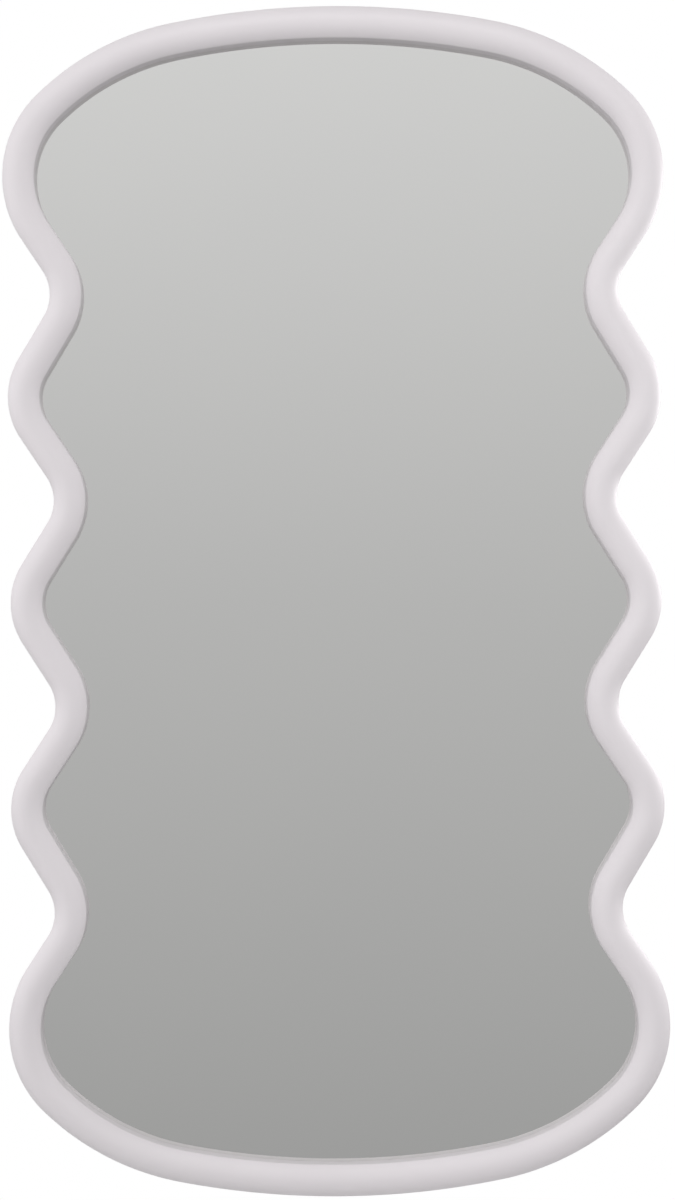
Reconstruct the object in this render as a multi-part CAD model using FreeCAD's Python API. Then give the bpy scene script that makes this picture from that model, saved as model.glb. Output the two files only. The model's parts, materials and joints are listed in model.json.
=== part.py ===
import FreeCAD, Part
import math
import os

# A wavy wall mirror: a painted frame of four glued lengths round a silvered glass.
# Millimetres, +Z up, the glass looks along -Y and the wall is on the +Y side.
# The origin is the middle of the mirror on the wall plane.

# Outline of the frame, seen from the front
overall_width = 500.0         # over the shoulders
rail_width = 24.0             # width of the moulding, the same all round
shoulder_lead = 32.5          # shoulders' outer edge beyond the rails' mean line
valley_count = 4              # inward bends on each side
wave_pitch = 156.0            # from one valley to the next
wave_swing = 33.4             # sideways travel of the rail's middle line
wave_round_share = 0.816      # wave radius over the radius that leaves no straight run
waist = 3.6                   # how far the rails drift outward from mid-height to their ends
neck_run = 28.5               # straight stretch between the end valleys and the shoulders
shoulder_radius = 86.0
haunch_radius = 203.0         # the bend between shoulder and crown
cap_rise = 127.26             # crown's top above the centre of the shoulder bend
crown_flatness_share = 1.456  # crown radius over the radius that would need no haunch

# Section of the moulding
frame_depth = 22.0
crown_rise = 6.0              # height of the rounded front above its two edges
edge_round = 2.0              # where the rounded front meets the side walls
rear_ease = 1.0               # chamfer on the outer rear edge
rebate_width = 7.0            # step that the glass sits in

# Glass, its foam tape and the back board
glass_thickness = 4.0
glass_gap = 1.0               # between the glass's edge and the wall of the rebate
tape_thickness = 1.0
tape_width = 20.0
tape_length = 640.0
tape_spacing = 120.0
board_thickness = 3.0
board_inset = 3.0             # board's edge inside the frame's outer edge

# Dowels in the four glued joints
dowel_radius = 3.0
dowel_length = 24.0
dowel_chamfer = 0.8
dowel_end_gap = 1.0           # spare depth of each dowel hole
dowel_place_shares = (0.31, 0.69)   # across the rail, from its outer edge

# Screws that hold the board
board_screw_radius = 1.5
board_screw_length = 15.0
board_screw_head_radius = 3.0
board_screw_head_height = 1.8
screw_hole_gap = 0.15         # a screw's shank in the hole of what it clamps
screw_tip_length = 3.0
screw_slot_width = 0.9        # each arm of the cross recess
screw_slot_depth = 0.9
screw_slot_share = 1.2        # recess length over the head's radius
head_side_share = 0.5         # upright side of a head, as a share of its height
head_dome_shares = (0.8, 0.9) # the dome's middle, over the head's radius and height
crown_screw_angle = 9.0       # degrees either side of the crown's middle

# Hangers: a strap of folded sheet that holds a ring
strap_width = 14.0
strap_length = 33.0           # from the ring's axis to the strap's lower end
strap_thickness = 1.2
curl_wrap = 300.0             # degrees that the sheet's end is rolled round the ring
ring_wire_radius = 1.5
ring_inner_width = 20.0
ring_reach = 18.0             # from the axis to the middle of the wire at the bow's top
ring_corner_radius = 4.0
ring_running_gap = 0.08       # the wire in the curl
ring_rest_gap = 0.3           # the ring's bow clear of the board, or of the strap
hanger_screw_radius = 1.75
hanger_screw_length = 16.0
hanger_screw_head_radius = 3.3
hanger_screw_head_height = 2.2
hanger_screw_drops = (10.0, 26.0)   # below the ring's axis

# Rubber bumpers that keep the mirror off the wall
bumper_height = 6.0
bumper_radius = 7.0
bumper_taper = 0.8            # the bumper's face is this much smaller in radius
bumper_edge_margin = 2.0      # from the board's edge

overrun = 1.0                 # how far a cutting tool passes a face
least_run = 0.03              # bends nearer than this touch, with no straight run between

# Levels along Y, from the wall towards the front
board_rear = -bumper_height
frame_rear = board_rear - board_thickness
glass_rear = frame_rear - tape_thickness
rebate_depth = tape_thickness + glass_thickness

# The ring's axis above the board, and how it leans at rest and folds down on the strap
axis_height = ring_wire_radius + ring_running_gap + strap_thickness
lean_rise = axis_height - ring_wire_radius - ring_rest_gap
fold_rise = strap_thickness + ring_wire_radius + ring_rest_gap - axis_height
ring_lean = math.degrees(math.asin(lean_rise / ring_reach))
ring_fold = 180.0 + ring_lean - math.degrees(math.asin(fold_rise / ring_reach))

cap_bends = 3                 # crown, haunch and shoulder, at each end of a half outline
cosine_digits = 12


def vec(x, y, z):
    return FreeCAD.Vector(x, y, z)


def level(depth):
    """The Y of a point that lies `depth` in front of the frame's rear face."""
    return frame_rear - depth


# The outline is a chain of bends. Each is (centre x, centre z, reach, start, end): the
# outer edge lies `reach` from the centre along the outward normal, whose angle runs from
# start to end. A valley's centre is outside the frame, so its reach is negative.

def wave_circles():
    """Centres and reaches of the valleys and bulges on the right, from the top down."""
    half_pitch = wave_pitch / 2
    radius = wave_round_share * (half_pitch ** 2 + wave_swing ** 2) / (4 * wave_swing)
    mean_line = overall_width / 2 - shoulder_lead
    circles = []
    for i in range(2 * valley_count - 1):
        z = (valley_count - 1 - i) * half_pitch
        drift = waist * (z / (valley_count * half_pitch)) ** 2
        if i % 2 == 0:
            x = mean_line - wave_swing / 2 + drift + radius
            circles.append((x, z, rail_width / 2 - radius))
        else:
            x = mean_line + wave_swing / 2 + drift - radius
            circles.append((x, z, rail_width / 2 + radius))
    return circles


def cap_circles(valley):
    """Centres and reaches of the crown, the haunch and the shoulder above a valley."""
    shoulder_x = overall_width / 2 - shoulder_radius
    side = valley[0] - shoulder_x
    span = shoulder_radius - valley[2]
    shoulder_z = valley[1] + math.sqrt(span ** 2 + neck_run ** 2 - side ** 2)
    plain_radius = shoulder_x ** 2 + cap_rise ** 2 - shoulder_radius ** 2
    plain_radius = plain_radius / (2 * (cap_rise - shoulder_radius))
    crown_radius = crown_flatness_share * plain_radius
    crown_z = shoulder_z + cap_rise - crown_radius
    # The haunch bend touches both the crown's and the shoulder's circle from inside
    dx, dz = shoulder_x, shoulder_z - crown_z
    apart = math.hypot(dx, dz)
    from_crown = crown_radius - haunch_radius
    from_shoulder = haunch_radius - shoulder_radius
    along = (apart ** 2 + from_crown ** 2 - from_shoulder ** 2) / (2 * apart)
    aside = math.sqrt(from_crown ** 2 - along ** 2)
    haunch_x = (along * dx - aside * dz) / apart
    haunch_z = crown_z + (along * dz + aside * dx) / apart
    return [(0.0, crown_z, crown_radius), (haunch_x, haunch_z, haunch_radius),
            (shoulder_x, shoulder_z, shoulder_radius)]


def junction_angle(a, b):
    """The outward normal's angle where the bend on circle a hands over to circle b."""
    dx, dz = b[0] - a[0], b[1] - a[1]
    # Circles that touch give a cosine of exactly one, apart from rounding
    turn = math.acos(round((a[2] - b[2]) / math.hypot(dx, dz), cosine_digits))
    angle = math.degrees(math.atan2(dz, dx) + turn)
    return (angle + 180) % 360 - 180


def right_bends():
    """The bends of the right half, clockwise from the crown's middle to the base's."""
    waves = wave_circles()
    cap = cap_circles(waves[0])
    foot = [(x, -z, reach) for x, z, reach in reversed(cap)]
    circles = cap + waves + foot
    angles = [90.0]
    for a, b in zip(circles, circles[1:]):
        angles.append(junction_angle(a, b))
    angles.append(-90.0)
    return [c + (s, e) for c, s, e in zip(circles, angles, angles[1:])]


def mirrored(bends):
    """The same bends on the left, still clockwise."""
    return [(-x, z, reach, 180 - end, 180 - start) for x, z, reach, start, end in reversed(bends)]


def at(bend, angle, inset, depth):
    """A point `inset` from the outer edge and `depth` from the frame's rear face."""
    x, z, reach = bend[:3]
    turn = math.radians(angle)
    out = reach - inset
    return vec(x + out * math.cos(turn), level(depth), z + out * math.sin(turn))


def bend_start(bend, inset=0.0, depth=0.0):
    return at(bend, bend[3], inset, depth)


def bend_end(bend, inset=0.0, depth=0.0):
    return at(bend, bend[4], inset, depth)


def outline_face(bends, inset, y):
    """The face inside the whole outline, moved inward by inset, on the level y."""
    edges = []
    for bend, following in zip(bends, bends[1:] + bends[:1]):
        middle = at(bend, (bend[3] + bend[4]) / 2, inset, 0.0)
        edges.append(Part.Arc(bend_start(bend, inset), middle, bend_end(bend, inset)).toShape())
        gap = bend_start(following, inset) - bend_end(bend, inset)
        if gap.Length > least_run:
            edges.append(Part.makeLine(bend_end(bend, inset), bend_start(following, inset)))
    face = Part.Face(Part.Wire(Part.__sortEdges__(edges)))
    face.translate(vec(0, y - frame_rear, 0))
    return face


def outline_plate(bends, inset, rear, thickness):
    return outline_face(bends, inset, rear).extrude(vec(0, -thickness, 0))


# The moulding's section, as (inset from the outer edge, depth from the rear face)

def section_edges(place):
    """The section's edges, with place turning (inset, depth) into a point in space."""
    half = rail_width / 2
    radius = (crown_rise ** 2 + half ** 2) / (2 * crown_rise)
    base = frame_depth - radius
    rise = math.sqrt((radius - edge_round) ** 2 - (half - edge_round) ** 2)
    wall_top = base + rise
    share = edge_round / (radius - edge_round)
    touch_inset = edge_round - share * (half - edge_round)
    touch_depth = wall_top + share * rise
    tilt = math.atan2(rise, half - edge_round) / 2
    knee_inset = edge_round - edge_round * math.cos(tilt)
    knee_depth = wall_top + edge_round * math.sin(tilt)
    step = rail_width - rebate_width

    def line(a, b):
        return Part.makeLine(place(*a), place(*b))

    def arc(a, b, c):
        return Part.Arc(place(*a), place(*b), place(*c)).toShape()

    return [
        line((0.0, rear_ease), (0.0, wall_top)),
        arc((0.0, wall_top), (knee_inset, knee_depth), (touch_inset, touch_depth)),
        arc((touch_inset, touch_depth), (half, frame_depth),
            (rail_width - touch_inset, touch_depth)),
        arc((rail_width - touch_inset, touch_depth), (rail_width - knee_inset, knee_depth),
            (rail_width, wall_top)),
        line((rail_width, wall_top), (rail_width, rebate_depth)),
        line((rail_width, rebate_depth), (step, rebate_depth)),
        line((step, rebate_depth), (step, 0.0)),
        line((step, 0.0), (rear_ease, 0.0)),
        line((rear_ease, 0.0), (0.0, rear_ease)),
    ]


def section_face(bend, angle, shift):
    """The section where the bend's outward normal has this angle, moved by shift."""
    def place(inset, depth):
        return at(bend, angle, inset, depth) + shift
    return Part.Face(Part.Wire(section_edges(place)))


def moulding(bends, before, after):
    """One length of the moulding through these bends, out to the middle of the runs
    that join it to the bends before and after it."""
    none = vec(0, 0, 0)
    lead_in = (bend_start(bends[0]) - bend_end(before)) * 0.5
    lead_out = (bend_start(after) - bend_end(bends[-1])) * 0.5
    parts = [section_face(bends[0], bends[0][3], -lead_in).extrude(lead_in)]
    for i, bend in enumerate(bends):
        turn = bend[3] - bend[4]
        face = section_face(bend, bend[3], none)
        parts.append(face.revolve(vec(bend[0], 0, bend[1]), vec(0, 1, 0), turn))
        run = lead_out
        if i + 1 < len(bends):
            run = bend_start(bends[i + 1]) - bend_end(bend)
        if run.Length > least_run:
            parts.append(section_face(bend, bend[4], none).extrude(run))
    return parts[0].multiFuse(parts[1:]).removeSplitter()


# Joints between the lengths of moulding

def joint_places(before, after, half_length):
    """Start point and direction of each dowel across the joint between two bends."""
    places = []
    for share in dowel_place_shares:
        inset = share * rail_width
        a = bend_end(before, inset, frame_depth / 2)
        b = bend_start(after, inset, frame_depth / 2)
        along = (b - a).normalize()
        places.append(((a + b) * 0.5 - along * half_length, along))
    return places


def dowel_pair(before, after):
    pegs = []
    for start, along in joint_places(before, after, dowel_length / 2):
        peg = Part.makeCylinder(dowel_radius, dowel_length, start, along)
        rims = [e for e in peg.Edges if e.Closed]
        pegs.append(peg.makeChamfer(dowel_chamfer, rims))
    return Part.makeCompound(pegs)


def dowel_holes(before, after):
    half = dowel_length / 2 + dowel_end_gap
    return [Part.makeCylinder(dowel_radius, 2 * half, start, along)
            for start, along in joint_places(before, after, half)]


# Screws, driven along -Y from a seat

def screw_shank(radius, length):
    """Shank and point, from the seat at the origin, also used to cut the screw's hole."""
    points = [vec(0, 0, 0), vec(radius, 0, 0), vec(radius, screw_tip_length - length, 0),
              vec(0, -length, 0), vec(0, 0, 0)]
    return Part.Face(Part.makePolygon(points)).revolve(vec(0, 0, 0), vec(0, 1, 0), 360)


def screw_head(radius, height):
    """A pan head with a domed top and a cross recess."""
    side = head_side_share * height
    middle = vec(head_dome_shares[0] * radius, head_dome_shares[1] * height, 0)
    edges = [Part.makeLine(vec(0, 0, 0), vec(radius, 0, 0)),
             Part.makeLine(vec(radius, 0, 0), vec(radius, side, 0)),
             Part.Arc(vec(radius, side, 0), middle, vec(0, height, 0)).toShape(),
             Part.makeLine(vec(0, height, 0), vec(0, 0, 0))]
    head = Part.Face(Part.Wire(edges)).revolve(vec(0, 0, 0), vec(0, 1, 0), 360)
    long_side = screw_slot_share * radius
    floor = height - screw_slot_depth
    for dx, dz in ((long_side, screw_slot_width), (screw_slot_width, long_side)):
        corner = vec(-dx / 2, floor, -dz / 2)
        head = head.cut(Part.makeBox(dx, screw_slot_depth + overrun, dz, corner))
    return head


def screw(radius, length, head_radius, head_height):
    return screw_head(head_radius, head_height).fuse(screw_shank(radius, length)).removeSplitter()


def moved(shape, place):
    copy = shape.copy()
    copy.translate(place)
    return copy


def board_screw_places(right):
    """Seats of the board's screws: on the bulges, the shoulders and along both crowns."""
    inset = (board_inset + rail_width - rebate_width) / 2
    top, foot = right[0], right[-1]
    places = [at(top, 90.0, inset, 0.0), at(foot, -90.0, inset, 0.0)]
    one_side = [at(top, 90.0 - crown_screw_angle, inset, 0.0),
                at(foot, crown_screw_angle - 90.0, inset, 0.0)]
    for bend in right[cap_bends - 1:1 - cap_bends:2]:
        one_side.append(at(bend, 0.0, inset, 0.0))
    for p in one_side:
        places += [p, vec(-p.x, p.y, p.z)]
    return [p + vec(0, board_thickness, 0) for p in places]


# Hangers, drawn about the ring's axis with the board's rear face at the axis height below

def hanger_axis(valley):
    """A point on the ring's axis: the strap is centred on the rail at the valley."""
    seat = at(valley, 0.0, rail_width / 2, 0.0)
    return vec(seat.x, board_rear + axis_height, valley[1] + strap_length / 2)


def rolled_end():
    """The strap's end, rolled round the ring's straight side."""
    outer = axis_height
    inner = outer - strap_thickness
    angles = [math.radians(-90.0 + curl_wrap * share) for share in (0.0, 0.5, 1.0)]

    def ring_points(radius):
        return [vec(-strap_width / 2, radius * math.sin(a), radius * math.cos(a)) for a in angles]

    out, back = ring_points(outer), ring_points(inner)
    edges = [Part.Arc(*out).toShape(), Part.makeLine(out[2], back[2]),
             Part.Arc(*back).toShape(), Part.makeLine(back[0], out[0])]
    return Part.Face(Part.Wire(Part.__sortEdges__(edges))).extrude(vec(strap_width, 0, 0))


def hanger_strap():
    half = strap_width / 2
    end = half - strap_length
    corners = [vec(-half, 0, end), vec(-half, 0, 0), vec(half, 0, 0), vec(half, 0, end)]
    edges = [Part.makeLine(a, b) for a, b in zip(corners, corners[1:])]
    edges.append(Part.Arc(corners[3], vec(0, 0, -strap_length), corners[0]).toShape())
    flat = Part.Face(Part.Wire(edges)).extrude(vec(0, strap_thickness, 0))
    flat.translate(vec(0, -axis_height, 0))
    strap = flat.fuse(rolled_end()).removeSplitter()
    for drop in hanger_screw_drops:
        start = vec(0, -axis_height - overrun, -drop)
        strap = strap.cut(Part.makeCylinder(hanger_screw_radius + screw_hole_gap,
                                            strap_thickness + 2 * overrun, start, vec(0, 1, 0)))
    return strap


def hanger_ring():
    """A ring of round wire with one straight side, which turns in the strap's rolled end."""
    half = ring_inner_width / 2 + ring_wire_radius
    side = half - ring_corner_radius
    bow = ring_reach - half
    up, turn = vec(0, 0, 1), vec(0, -1, 0)

    def wire_face(x, z, along):
        return Part.Face(Part.Wire(Part.makeCircle(ring_wire_radius, vec(x, 0, z), along)))

    parts = [wire_face(-side, 0, vec(1, 0, 0)).extrude(vec(2 * side, 0, 0)),
             wire_face(side, 0, vec(1, 0, 0)).revolve(vec(side, 0, ring_corner_radius), turn, 90),
             wire_face(half, ring_corner_radius, up).extrude(up * (bow - ring_corner_radius)),
             wire_face(half, bow, up).revolve(vec(0, 0, bow), turn, 180),
             wire_face(-half, ring_corner_radius, up).extrude(up * (bow - ring_corner_radius)),
             wire_face(-half, ring_corner_radius, up).revolve(
                 vec(-side, 0, ring_corner_radius), turn, 90)]
    ring = parts[0].multiFuse(parts[1:]).removeSplitter()
    ring.rotate(vec(0, 0, 0), vec(1, 0, 0), ring_lean)
    return ring


def hanger_screw_seats(axis):
    return [vec(axis.x, board_rear + strap_thickness, axis.z - drop)
            for drop in hanger_screw_drops]


# Soft pieces

def bumper(haunch):
    """A rubber bumper stuck to the board behind the middle of a haunch."""
    inset = board_inset + bumper_edge_margin + bumper_radius
    seat = at(haunch, (haunch[3] + haunch[4]) / 2, inset, 0.0)
    pad = Part.makeCone(bumper_radius, bumper_radius - bumper_taper, bumper_height,
                        vec(seat.x, board_rear, seat.z), vec(0, 1, 0))
    rim = [e for e in pad.Edges if e.Closed and e.BoundBox.YMin > board_rear + bumper_height / 2]
    return pad.makeFillet(bumper_taper, rim)


def tape_strip(x):
    return Part.makeBox(tape_width, tape_thickness, tape_length,
                        vec(x - tape_width / 2, glass_rear, -tape_length / 2))


# The whole mirror

def cut_all(shape, tools):
    near = [t for t in tools if shape.BoundBox.intersect(t.BoundBox)]
    return shape.cut(near) if near else shape


def build():
    right = right_bends()
    left = mirrored(right)
    valley_top = right[cap_bends]
    joints = {"top_right": (right[cap_bends - 1], right[cap_bends]),
              "bottom_right": (right[-cap_bends - 1], right[-cap_bends]),
              "bottom_left": (left[cap_bends - 1], left[cap_bends]),
              "top_left": (left[-cap_bends - 1], left[-cap_bends])}
    lengths = {"frame_top": (left[-cap_bends:] + right[:cap_bends],
                             left[-cap_bends - 1], right[cap_bends]),
               "frame_right": (right[cap_bends:-cap_bends], right[cap_bends - 1],
                               right[-cap_bends]),
               "frame_bottom": (right[-cap_bends:] + left[:cap_bends],
                                right[-cap_bends - 1], left[cap_bends]),
               "frame_left": (left[cap_bends:-cap_bends], left[cap_bends - 1],
                              left[-cap_bends])}

    # Screws, and the holes that they cut
    axis = hanger_axis(valley_top)
    sides = {"right": axis, "left": vec(-axis.x, axis.y, axis.z)}
    board_seats = board_screw_places(right)
    board_screw = screw(board_screw_radius, board_screw_length, board_screw_head_radius,
                        board_screw_head_height)
    hanger_screw = screw(hanger_screw_radius, hanger_screw_length, hanger_screw_head_radius,
                         hanger_screw_head_height)
    shanks = [moved(screw_shank(board_screw_radius, board_screw_length), p)
              for p in board_seats]
    clearances = [(p, board_screw_radius) for p in board_seats]
    for place in sides.values():
        for p in hanger_screw_seats(place):
            shanks.append(moved(screw_shank(hanger_screw_radius, hanger_screw_length), p))
            clearances.append((p, hanger_screw_radius))
    pegs_out = [hole for pair in joints.values() for hole in dowel_holes(*pair)]

    nodes = {}
    for name, (bends, before, after) in lengths.items():
        nodes[name] = cut_all(moulding(bends, before, after), shanks + pegs_out)
    for name, pair in joints.items():
        nodes["dowels_" + name] = dowel_pair(*pair)

    outline = right + left
    glass_inset = rail_width - rebate_width + glass_gap
    nodes["mirror_glass"] = outline_plate(outline, glass_inset, glass_rear, glass_thickness)
    holes = [Part.makeCylinder(radius + screw_hole_gap, board_thickness + 2 * overrun,
                               vec(p.x, frame_rear - overrun, p.z), vec(0, 1, 0))
             for p, radius in clearances]
    nodes["back_board"] = outline_plate(outline, board_inset, board_rear, board_thickness).cut(holes)
    for name, x in (("left", -tape_spacing), ("middle", 0.0), ("right", tape_spacing)):
        nodes["foam_tape_" + name] = tape_strip(x)
    nodes["board_screws"] = Part.makeCompound([moved(board_screw, p) for p in board_seats])
    for name, place in sides.items():
        nodes["hanger_strap_" + name] = moved(hanger_strap(), place)
        nodes["hanger_ring_" + name] = moved(hanger_ring(), place)
        nodes["hanger_screws_" + name] = Part.makeCompound(
            [moved(hanger_screw, p) for p in hanger_screw_seats(place)])
    nodes["bumper_top_right"] = bumper(right[1])
    nodes["bumper_bottom_right"] = bumper(right[-2])
    nodes["bumper_bottom_left"] = bumper(left[1])
    nodes["bumper_top_left"] = bumper(left[-2])
    return nodes, axis


nodes, axis = build()
os.makedirs("parts", exist_ok=True)
for name, shape in nodes.items():
    shape.exportStep("parts/" + name + ".step")

box = Part.makeCompound(list(nodes.values())).optimalBoundingBox(True, False)
print("overall width, depth and height:", box.XLength, box.YLength, box.ZLength)
print("ring axis on the right:", axis.x, axis.y, axis.z)
print("ring leans", ring_lean, "degrees to the board and folds down by", ring_fold)
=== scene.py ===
import math
import bpy
import numpy as np
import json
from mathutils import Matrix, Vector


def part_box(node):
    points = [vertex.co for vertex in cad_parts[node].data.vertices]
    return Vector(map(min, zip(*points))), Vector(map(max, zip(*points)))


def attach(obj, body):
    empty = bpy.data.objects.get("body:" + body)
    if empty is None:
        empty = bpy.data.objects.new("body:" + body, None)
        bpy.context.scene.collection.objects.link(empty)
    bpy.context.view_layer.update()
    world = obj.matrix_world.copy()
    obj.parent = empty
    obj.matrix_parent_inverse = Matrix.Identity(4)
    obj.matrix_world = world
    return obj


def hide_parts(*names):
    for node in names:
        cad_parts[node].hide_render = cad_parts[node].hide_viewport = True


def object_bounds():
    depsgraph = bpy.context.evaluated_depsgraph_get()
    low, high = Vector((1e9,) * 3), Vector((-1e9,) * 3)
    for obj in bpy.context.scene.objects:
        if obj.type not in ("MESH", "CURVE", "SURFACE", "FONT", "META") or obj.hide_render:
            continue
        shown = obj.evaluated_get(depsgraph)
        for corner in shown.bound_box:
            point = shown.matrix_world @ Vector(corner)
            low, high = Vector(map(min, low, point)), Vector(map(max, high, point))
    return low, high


# A wavy wall mirror: a lacquered fibreboard frame round a silvered glass. Metres, +Z up.
# The glass looks along -Y, the wall is on the +Y side, and the origin is the middle of
# the mirror on the wall plane.

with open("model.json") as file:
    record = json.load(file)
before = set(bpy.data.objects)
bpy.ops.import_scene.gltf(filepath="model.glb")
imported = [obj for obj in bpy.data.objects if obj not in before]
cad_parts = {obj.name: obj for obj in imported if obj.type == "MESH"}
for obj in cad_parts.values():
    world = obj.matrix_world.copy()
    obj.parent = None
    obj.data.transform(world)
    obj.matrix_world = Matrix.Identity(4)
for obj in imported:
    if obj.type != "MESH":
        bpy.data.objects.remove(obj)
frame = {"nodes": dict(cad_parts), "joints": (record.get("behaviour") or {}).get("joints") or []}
cad_low, cad_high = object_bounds()

MM = 0.001
BODY = "mirror"

# Outline of the frame, seen from the front
overall_width = cad_high.x - cad_low.x
rail_width = 24 * MM
shoulder_lead = 32.5 * MM     # shoulders' outer edge beyond the rails' mean line
valley_count = 4
wave_pitch = 156 * MM
wave_swing = 33.4 * MM        # sideways travel of the rail's middle line
wave_round_share = 0.816      # wave radius over the radius that leaves no straight run
waist = 3.6 * MM              # the rails' drift outward, half a pitch past their end valleys
neck_run = 28.5 * MM          # straight stretch between the end valleys and the shoulders
shoulder_radius = 86 * MM
haunch_radius = 203 * MM
cap_rise = 127.26 * MM        # crown's top above the centre of the shoulder bend
crown_flatness_share = 1.456  # crown radius over the radius that would need no haunch
cap_count = 3                 # crown, haunch and shoulder
outline_step = 1.2 * MM       # spacing of the points along the outline
least_steps = 4               # on a bend, however short
same_place = outline_step / 100   # two ends closer than this are one point

# Levels and thicknesses along Y, from the solids
board_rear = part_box("back_board")[1].y
frame_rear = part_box("frame_top")[1].y
frame_depth = frame_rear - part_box("frame_top")[0].y
glass_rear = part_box("mirror_glass")[1].y
glass_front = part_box("mirror_glass")[0].y
rebate_depth = frame_rear - glass_front

# Section of the moulding
crown_rise = 6 * MM
edge_round = 2 * MM
rear_ease = 1 * MM
rebate_width = 7 * MM
paint_round = 0.4 * MM        # a painted corner is never sharp
hold = 0.15 * MM              # a row of points this near a corner keeps the flat beside it flat
knee_points = 9               # where the front turns into a wall
front_points = 29
corner_steps = 4
crease_angle = math.radians(38)   # edges that turn more than this stay crisp

# Glass and back board
glass_gap = 1 * MM            # between the glass's edge and the wall of the rebate
glass_arris = 0.6 * MM
board_inset = 3 * MM          # board's edge inside the frame's outer edge
board_ease = 0.35 * MM
arris_steps = 3
face_lead = 4                 # arrises from the edge to the row of points on each face

# Screws
board_screw = {"shank": 1.5 * MM, "length": 15 * MM, "head": 3 * MM, "height": 1.8 * MM}
hanger_screw = {"shank": 1.75 * MM, "length": 16 * MM, "head": 3.3 * MM, "height": 2.2 * MM}
screw_sides = 56
dome_shares = (0.06, 0.94)    # first and last row of the dome over the head's radius
dome_rows = 23
rim_shares = (0.97, 0.985, 0.995, 1.0)   # closer rows where the dome falls to the rim
head_side_share = 0.5         # upright side over the head's height
head_foot_share = 0.3         # eased foot over the upright side
head_foot_ease = 0.1 * MM
recess_depth = 0.95 * MM
recess_width = 0.95 * MM
recess_length_share = 1.15    # over the head's radius
recess_wall = 0.12 * MM       # how far the recess's walls lean
recess_rise_share = 0.45      # of its depth, lost from the middle to its ends
screw_tip = 3 * MM
tip_share = 0.02              # of the shank's radius, left at the point
plain_shank = 0.4 * MM        # shank without a thread under the head
thread_pitch = 1.1 * MM
thread_height = 0.25 * MM
thread_half_share = 0.25      # half the thread's width over its pitch
thread_steps = 5              # rows of points per turn of the thread
crown_screw_angle = math.radians(9)   # from a crown's middle to its outer screws

# Hangers
strap_thickness = 1.2 * MM
strap_ease = 0.18 * MM
strap_ease_steps = 2
strap_crease = math.radians(40)   # only edges that turn more than this are eased
same_face = math.radians(0.5)     # faces that differ by less are one face
weld_distance = 0.002 * MM
ring_wire_radius = 1.5 * MM
ring_inner_width = 20 * MM
ring_reach = 18 * MM          # from the axis to the middle of the wire at the bow's top
ring_corner = 4 * MM
ring_corner_points = 13
ring_bow_points = 49
wire_sides = 20
hanger_screw_drops = (10 * MM, 26 * MM)   # below the ring's axis

# Bumpers and dowels
bumper_radius = 7 * MM
bumper_taper = 0.8 * MM       # the bumper's face is this much smaller in radius
bumper_edge_margin = 2 * MM   # from the board's edge
bumper_dish = 0.25 * MM
bumper_sides = 48
bumper_round_steps = 8
dish_shares = (0.7, 0.03)     # first and last row of the dish over the face's radius
dish_rows = 12
dish_reach_share = 0.78       # where the dish's parabola meets the flat, over the same
end_ring_share = 0.5          # a row of points half-way in on a flat end
dowel_radius = 3 * MM
dowel_length = 24 * MM
dowel_chamfer = 0.8 * MM
dowel_sides = 96
dowel_flutes = 16
flute_depth = 0.2 * MM
flute_sharpness = 4           # power of the cosine that shapes a flute
flute_floor_share = 0.3       # a flute takes no radius below this share
dowel_place_shares = (0.31, 0.69)   # across the rail, from its outer edge
steep_share = 0.9             # an axis whose Y part is above this takes X as its guide, not Y


# The outline is a chain of bends. Each is (centre x, centre z, reach, start, end): the
# outer edge lies `reach` from the centre along the outward normal, whose angle runs from
# start to end. A valley's centre is outside the frame, so its reach is negative.

def wave_circles():
    """Valleys and bulges on the right from the top down. Two touching circles that cross
    the swing in half a pitch have the radius (half pitch squared + swing squared) / 4 swing."""
    half_pitch = wave_pitch / 2
    radius = wave_round_share * (half_pitch ** 2 + wave_swing ** 2) / (4 * wave_swing)
    mean_line = overall_width / 2 - shoulder_lead
    circles = []
    for i in range(2 * valley_count - 1):
        z = (valley_count - 1 - i) * half_pitch
        drift = waist * (z / (valley_count * half_pitch)) ** 2
        side = -1 if i % 2 == 0 else 1
        x = mean_line + drift + side * (wave_swing / 2 - radius)
        circles.append((x, z, rail_width / 2 + side * radius))
    return circles


def cap_circles(valley):
    """Crown, haunch and shoulder above a valley. The haunch touches the other two from
    inside, so its centre is where circles of the two radius differences meet."""
    valley_x, valley_z, valley_reach = valley
    shoulder_x = overall_width / 2 - shoulder_radius
    span = shoulder_radius - valley_reach
    shoulder_z = valley_z + math.sqrt(span ** 2 + neck_run ** 2 - (valley_x - shoulder_x) ** 2)
    plain_radius = shoulder_x ** 2 + cap_rise ** 2 - shoulder_radius ** 2
    crown_radius = crown_flatness_share * plain_radius / (2 * (cap_rise - shoulder_radius))
    crown_z = shoulder_z + cap_rise - crown_radius
    dx, dz = shoulder_x, shoulder_z - crown_z
    apart = math.hypot(dx, dz)
    from_crown = crown_radius - haunch_radius
    from_shoulder = haunch_radius - shoulder_radius
    along = (apart ** 2 + from_crown ** 2 - from_shoulder ** 2) / (2 * apart)
    aside = math.sqrt(from_crown ** 2 - along ** 2)
    haunch_x = (along * dx - aside * dz) / apart
    haunch_z = crown_z + (along * dz + aside * dx) / apart
    return [(0.0, crown_z, crown_radius), (haunch_x, haunch_z, haunch_radius),
            (shoulder_x, shoulder_z, shoulder_radius)]


def junction_angle(circle, following):
    """The angle of the common outward normal: that of the line of centres plus the arc
    cosine of the reaches' difference over the distance."""
    x, z, reach = circle
    next_x, next_z, next_reach = following
    dx, dz = next_x - x, next_z - z
    cosine = max(-1.0, min(1.0, (reach - next_reach) / math.hypot(dx, dz)))
    angle = math.atan2(dz, dx) + math.acos(cosine)
    return (angle + math.pi) % (2 * math.pi) - math.pi


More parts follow.
